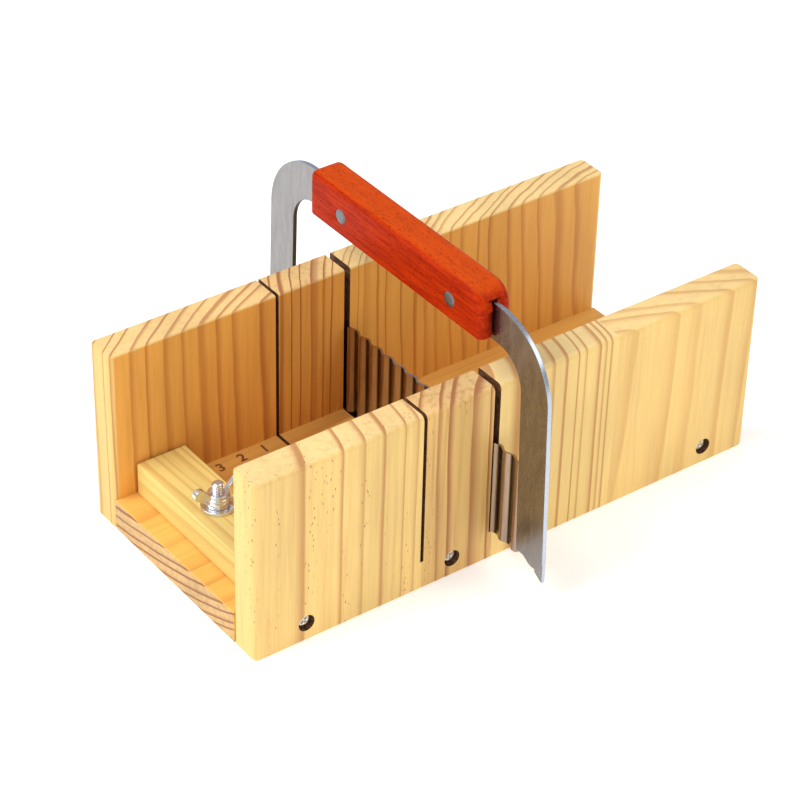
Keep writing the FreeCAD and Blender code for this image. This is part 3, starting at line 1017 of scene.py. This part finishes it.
def arch_line(half_width, top, radius, foot, splay, steps):
    """(y, z) points over an upside-down U, from its near foot to its far foot."""
    spring = top - radius
    side = cutter_y - half_width
    points = [(side - splay, foot), (side, spring)]
    for step in range(1, steps + 1):
        angle = math.radians(90 * step / steps)
        points.append((side + radius * (1 - math.cos(angle)), spring + radius * math.sin(angle)))
    mirrored = [(2 * cutter_y - y, z) for y, z in reversed(points)]
    return points + mirrored


class LOAFMOULD_OT_cutter_arms(bpy.types.Operator):
    """Build the flat arms and tang of the cutter, with ground corners at the feet"""

    bl_idname = "loaf_mould.cutter_arms"
    bl_label = "Cutter arms"

    def execute(self, context):
        look = context.scene.loaf_cutter
        half = (cutter_high.y - cutter_low.y) / 2 - look.arm_splay
        top = cutter_high.z
        foot = look.arm_foot
        outer = arch_line(half, top, look.bend_radius, foot, look.arm_splay, 24)
        width = look.arm_width
        inner = arch_line(
            half - width, top - width, look.bend_radius - width, foot + look.foot_hollow, look.arm_splay, 16
        )
        near = outer[0][0]
        far = outer[-1][0]
        cut = look.corner_cut
        hollow_start = 8.5 * MM
        hollow_run = 7 * MM
        hollow_steps = 6
        hollow = []
        for step in range(hollow_steps + 1):
            share = step / hollow_steps
            rise = look.foot_hollow * share * share * (3 - 2 * share)
            hollow.append((hollow_start + hollow_run * share, foot + rise))
        outline = [(near + reach, z) for reach, z in reversed(hollow)]
        outline += [(near + cut, foot), (near, foot + cut)]
        outline += outer[1:-1]
        outline += [(far, foot + cut), (far - cut, foot)]
        outline += [(far - reach, z) for reach, z in hollow]
        outline += list(reversed(inner))
        made = bmesh.new()
        prism(made, outline, plane_x - look.arm_thick / 2, plane_x + look.arm_thick / 2)
        bmesh.ops.recalc_face_normals(made, faces=made.faces)
        rim = [edge for edge in made.edges if abs(edge.verts[0].co.x - edge.verts[1].co.x) < 1e-7]
        bmesh.ops.bevel(made, geom=rim, offset=0.3 * MM, segments=2, profile=0.5, affect="EDGES")
        spur_tip = cutter_low.z
        half_spur = 0.9 * MM
        overlap = 1 * MM
        for side, corner in ((1, near), (-1, far)):
            points = [(corner, foot + cut + overlap)]
            points += [(corner + side * inward * MM, spur_tip + rise * MM) for inward, rise in SPUR]
            points += [(corner + side * cut, foot), (corner + side * cut, foot + overlap)]
            before = set(made.faces)
            prism(made, points, plane_x - half_spur, plane_x + half_spur)
            added = [face for face in made.faces if face not in before]
            bmesh.ops.recalc_face_normals(made, faces=added)
        made.normal_update()
        ground_height = 10 * MM
        for face in made.faces:
            middle = face.calc_center_median()
            # Rims facing into the U above the feet get dark steel as a painted dark reflection; the others
            # get the paler edge steel
            inward = face.normal.y * (middle.y - cutter_y) < 0 or face.normal.z < -0.7
            if abs(face.normal.x) < 0.9:
                face.material_index = 2 if inward and middle.z > foot + ground_height else 1
        steel = steel_material("arm_steel", look.steel, (900, 300, 60), 0.27)
        # Paler bluish rims: ground finish with a painted highlight
        edge = steel_material("ground_edge_and_highlight", look.edge_steel_and_highlight, (200, 900, 900), 0.28, 0.06)
        scale = steel_material("painted_dark_edge", between(look.steel, BLACK, 0.7), (200, 900, 900), 0.5, 0.1)
        piece = new_piece("cutter_arms", made, [steel, edge, scale], 35.0)
        even_normals(piece)
        make_plain(piece)
        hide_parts("cutter_blade")
        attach(piece, "cutter")
        return {"FINISHED"}


def crinkle_material(look, half_length):
    """Brushed steel with painted shade in the crinkles' valleys on both faces of the sheet, and a painted
    reflection of the wood on the rest.
    """
    material, tree, shader, place = open_material("crinkle_steel")
    axes = add_node(tree, "ShaderNodeSeparateXYZ", {}, {0: place}).outputs
    share = sums(tree, "MULTIPLY_ADD", sums(tree, "SUBTRACT", axes["Y"], cutter_y), 0.5 / half_length, 0.5)
    wave = sums(tree, "SINE", times(tree, share, look.half_waves * math.pi))
    normal = add_node(tree, "ShaderNodeTexCoord", {}, {}).outputs["Normal"]
    facing = add_node(tree, "ShaderNodeSeparateXYZ", {}, {0: normal}).outputs[0]
    depth = times(tree, wave, sums(tree, "SIGN", facing))
    # Painted shade: the valleys of the crinkles on each face are drawn dark
    painted_valley_shade = ramp(tree, depth, 0.55, 0.98)
    lines = mottle(tree, stretched(tree, place, 700, 700, 60), 1.0, 4.0, 0.7)
    shade = sums(tree, "MULTIPLY_ADD", ramp(tree, lines, 0.25, 0.75), 0.24, 0.88)
    # The lit part carries the painted reflection of the wood
    bright = shaded(tree, rgba(between(look.steel, PAINTED_WOOD_REFLECTION, 0.7)), shade)
    dark = rgba(between(look.steel, BLACK, 0.85))
    tree.links.new(mix_colours(tree, painted_valley_shade, bright, dark), shader.inputs["Base Color"])
    tree.links.new(sums(tree, "MULTIPLY_ADD", lines, 0.16, 0.14), shader.inputs["Roughness"])
    shader.inputs["Metallic"].default_value = 1.0
    raise_surface(tree, shader, lines, 0.006 * MM, 0.5)
    return material


class LOAFMOULD_OT_crinkled_blade(bpy.types.Operator):
    """Build the crinkled blade from its wave rule"""

    bl_idname = "loaf_mould.crinkled_blade"
    bl_label = "Crinkled blade"

    def execute(self, context):
        look = context.scene.loaf_cutter
        half = (cutter_high.y - cutter_low.y) / 2 - look.arm_width
        tree, given = node_tree_with_inputs(
            "crinkle_rule",
            (("Thickness", "Float"), ("Length", "Float"), ("Height", "Float"), ("Wave Height", "Float"),
             ("Half Waves", "Int"), ("Centre", "Vector"), ("Material", "Material")),
        )
        size = add_node(
            tree, "ShaderNodeCombineXYZ", {}, {0: given["Thickness"], 1: given["Length"], 2: given["Height"]}
        ).outputs[0]
        columns = sums(tree, "MULTIPLY_ADD", given["Half Waves"], 12, 1)
        sheet = add_node(
            tree, "GeometryNodeMeshCube", {},
            {"Size": size, "Vertices X": 2, "Vertices Y": columns, "Vertices Z": 5},
        ).outputs["Mesh"]
        place = tree.nodes.new("GeometryNodeInputPosition").outputs[0]
        along = add_node(tree, "ShaderNodeSeparateXYZ", {}, {0: place}).outputs["Y"]
        share = sums(tree, "ADD", sums(tree, "DIVIDE", along, given["Length"]), 0.5)
        angle = times(tree, times(tree, share, given["Half Waves"]), math.pi)
        towards_near = times(tree, given["Wave Height"], -1)
        bulge = times(tree, sums(tree, "SINE", angle), towards_near)
        offset = add_node(tree, "ShaderNodeCombineXYZ", {}, {0: bulge}).outputs[0]
        waved = add_node(
            tree, "GeometryNodeSetPosition", {}, {"Geometry": sheet, "Offset": offset}
        ).outputs[0]
        moved = add_node(
            tree, "GeometryNodeTransform", {}, {"Geometry": waved, "Translation": given["Centre"]}
        ).outputs[0]
        end_tree(tree, moved, given["Material"])
        steel = crinkle_material(look, half)
        piece = new_piece("crinkled_blade", bmesh.new(), [])
        grow(
            piece, tree,
            {"Thickness": look.blade_thick, "Length": 2 * half, "Height": look.blade_top - look.blade_foot,
             "Wave Height": look.wave_height, "Half Waves": look.half_waves,
             "Centre": (plane_x, cutter_y, (look.blade_top + look.blade_foot) / 2), "Material": steel},
        )
        piece.data.shade_smooth()
        piece.data.set_sharp_from_angle(angle=math.radians(50))
        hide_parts("cutter_blade")
        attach(piece, "cutter")
        return {"FINISHED"}


class LOAFMOULD_OT_handle(bpy.types.Operator):
    """Build the red hardwood handle"""

    bl_idname = "loaf_mould.handle"
    bl_label = "Handle"

    def execute(self, context):
        look = context.scene.loaf_cutter
        made = merged_copy("handle")
        piece = new_piece("handle_wood", made, [hardwood_material(look)], 35.0)
        even_normals(piece)
        make_plain(piece)
        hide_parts("handle")
        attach(piece, "cutter")
        return {"FINISHED"}


class LOAFMOULD_OT_handle_rivets(bpy.types.Operator):
    """Set the two cutler's rivets through the handle"""

    bl_idname = "loaf_mould.handle_rivets"
    bl_label = "Handle rivets"

    def execute(self, context):
        look = context.scene.loaf_fittings
        half = (rivet_high.x - rivet_low.x) / 2
        radius = (rivet_high.y - rivet_low.y) / 2
        pin_radius = 2.5 * MM
        head_depth = 2.0 * MM
        crown = 0.25 * MM
        head = [(0, -half - crown), (radius * 0.5, -half - 0.18 * MM), (radius * 0.9, -half)]
        head += [(radius, -half + crown), (radius, -half + head_depth), (pin_radius, -half + head_depth)]
        profile = head + [(r, -h) for r, h in reversed(head)]
        made = bmesh.new()
        lathe(made, profile, Vector((0, 0, 0)), Vector((1, 0, 0)), 40)
        bmesh.ops.recalc_face_normals(made, faces=made.faces)
        template = new_piece("rivet_template", made, [], 35.0)
        places = [centre_of("near_rivet"), centre_of("far_rivet")]
        steel = steel_material("rivet_steel", look.rivet_steel, (500, 500, 500), 0.42)
        piece = repeated("handle_rivets", template, places, [0.0, 0.0], steel, 9)
        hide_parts("near_rivet", "far_rivet")
        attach(piece, "cutter")
        return {"FINISHED"}


# Stage


def aimed_light(name, power, size, place, target, colour=WHITE):
    """A square area light that faces a point."""
    light = bpy.data.lights.new(name, "AREA")
    light.energy = power
    light.size = size
    light.color = colour
    holder = bpy.data.objects.new(name, light)
    holder.location = place
    holder.rotation_euler = (Vector(target) - Vector(place)).to_track_quat("-Z", "Y").to_euler()
    bpy.context.scene.collection.objects.link(holder)
    return holder


def studio_camera():
    """The camera: its place, and its axes from its yaw, pitch and roll."""
    yaw = math.radians(37.02)
    pitch = math.radians(35.5)
    roll = math.radians(-1.45)
    ahead = Vector((math.sin(yaw) * math.cos(pitch), math.cos(yaw) * math.cos(pitch), -math.sin(pitch)))
    level = Vector((math.cos(yaw), -math.sin(yaw), 0))
    down = ahead.cross(level)
    right = level * math.cos(roll) + down * math.sin(roll)
    below = down * math.cos(roll) - level * math.sin(roll)
    camera = bpy.data.cameras.new("studio_camera")
    camera.sensor_width = 36
    camera.lens = 128.73
    camera.clip_start = 0.05
    holder = bpy.data.objects.new("studio_camera", camera)
    turn = Matrix((right, -below, -ahead)).transposed()
    holder.matrix_world = Matrix.Translation((-0.7023, -0.9078, 0.8656)) @ turn.to_4x4()
    bpy.context.scene.collection.objects.link(holder)
    bpy.context.scene.camera = holder


class LOAFMOULD_OT_stage(bpy.types.Operator):
    """Lay the floor and set the lights, surroundings and camera"""

    bl_idname = "loaf_mould.stage"
    bl_label = "Stage"

    def execute(self, context):
        look = context.scene.loaf_stage
        made = bmesh.new()
        bmesh.ops.create_grid(made, x_segments=8, y_segments=8, size=4.0)
        bmesh.ops.translate(made, verts=made.verts, vec=(0, 0, -0.05 * MM))
        floor = new_piece("studio_floor", made, [floor_material(look)])
        world = bpy.data.worlds.new("studio_sky")
        world.use_nodes = True
        background = world.node_tree.nodes["Background"]
        background.inputs["Color"].default_value = (0.97, 0.98, 1.0, 1.0)
        background.inputs["Strength"].default_value = look.sky
        context.scene.world = world
        middle = (0.0, 0.0, 0.05)
        aimed_light("key_light", look.key_power, 1.1, (-1.15, 0.35, 1.55), middle, (1.0, 0.985, 0.96))
        aimed_light("front_light", look.front_power, 1.6, (-0.5, -1.9, 0.9), middle)
        open_end = (0.06, 0.05, 0.06)
        aimed_light("side_light", look.side_power, 1.0, (0.75, -0.95, 1.2), open_end, (1.0, 0.98, 0.95))
        studio_camera()
        context.scene.view_settings.view_transform = "Standard"
        return {"FINISHED"}


class LOAFMOULD_PT_panel(bpy.types.Panel):
    """Lists the mould's pieces and their settings"""

    bl_idname = "LOAFMOULD_PT_panel"
    bl_label = "Loaf Mould"
    bl_space_type = "VIEW_3D"
    bl_region_type = "UI"
    bl_category = "Loaf Mould"

    def draw(self, context):
        layout = self.layout
        for operator in OPERATORS:
            layout.operator(operator.bl_idname)
        for title, settings in (
            ("Pine", context.scene.loaf_pine),
            ("Fittings", context.scene.loaf_fittings),
            ("Cutter", context.scene.loaf_cutter),
            ("Stage", context.scene.loaf_stage),
        ):
            box = layout.box()
            box.label(text=title)
            for name in type(settings).__annotations__:
                box.prop(settings, name)


OPERATORS = (
    LOAFMOULD_OT_side_boards,
    LOAFMOULD_OT_base_board,
    LOAFMOULD_OT_numerals,
    LOAFMOULD_OT_stop_block,
    LOAFMOULD_OT_side_screws,
    LOAFMOULD_OT_clamp_bolt,
    LOAFMOULD_OT_flat_washer,
    LOAFMOULD_OT_wing_nut,
    LOAFMOULD_OT_cutter_arms,
    LOAFMOULD_OT_crinkled_blade,
    LOAFMOULD_OT_handle,
    LOAFMOULD_OT_handle_rivets,
    LOAFMOULD_OT_stage,
)
SETTINGS = (
    ("loaf_pine", PineLook),
    ("loaf_fittings", FittingLook),
    ("loaf_cutter", CutterLook),
    ("loaf_stage", StageLook),
)


def register():
    for name, group in SETTINGS:
        bpy.utils.register_class(group)
        setattr(bpy.types.Scene, name, PointerProperty(type=group))
    for operator in OPERATORS:
        bpy.utils.register_class(operator)
    bpy.utils.register_class(LOAFMOULD_PT_panel)


def unregister():
    bpy.utils.unregister_class(LOAFMOULD_PT_panel)
    for operator in reversed(OPERATORS):
        bpy.utils.unregister_class(operator)
    for name, group in reversed(SETTINGS):
        delattr(bpy.types.Scene, name)
        bpy.utils.unregister_class(group)


def main():
    """Builds every piece and the stage."""
    register()
    for operator in OPERATORS:
        section, action = operator.bl_idname.split(".")
        getattr(getattr(bpy.ops, section), action)()


if __name__ == "__main__":
    main()
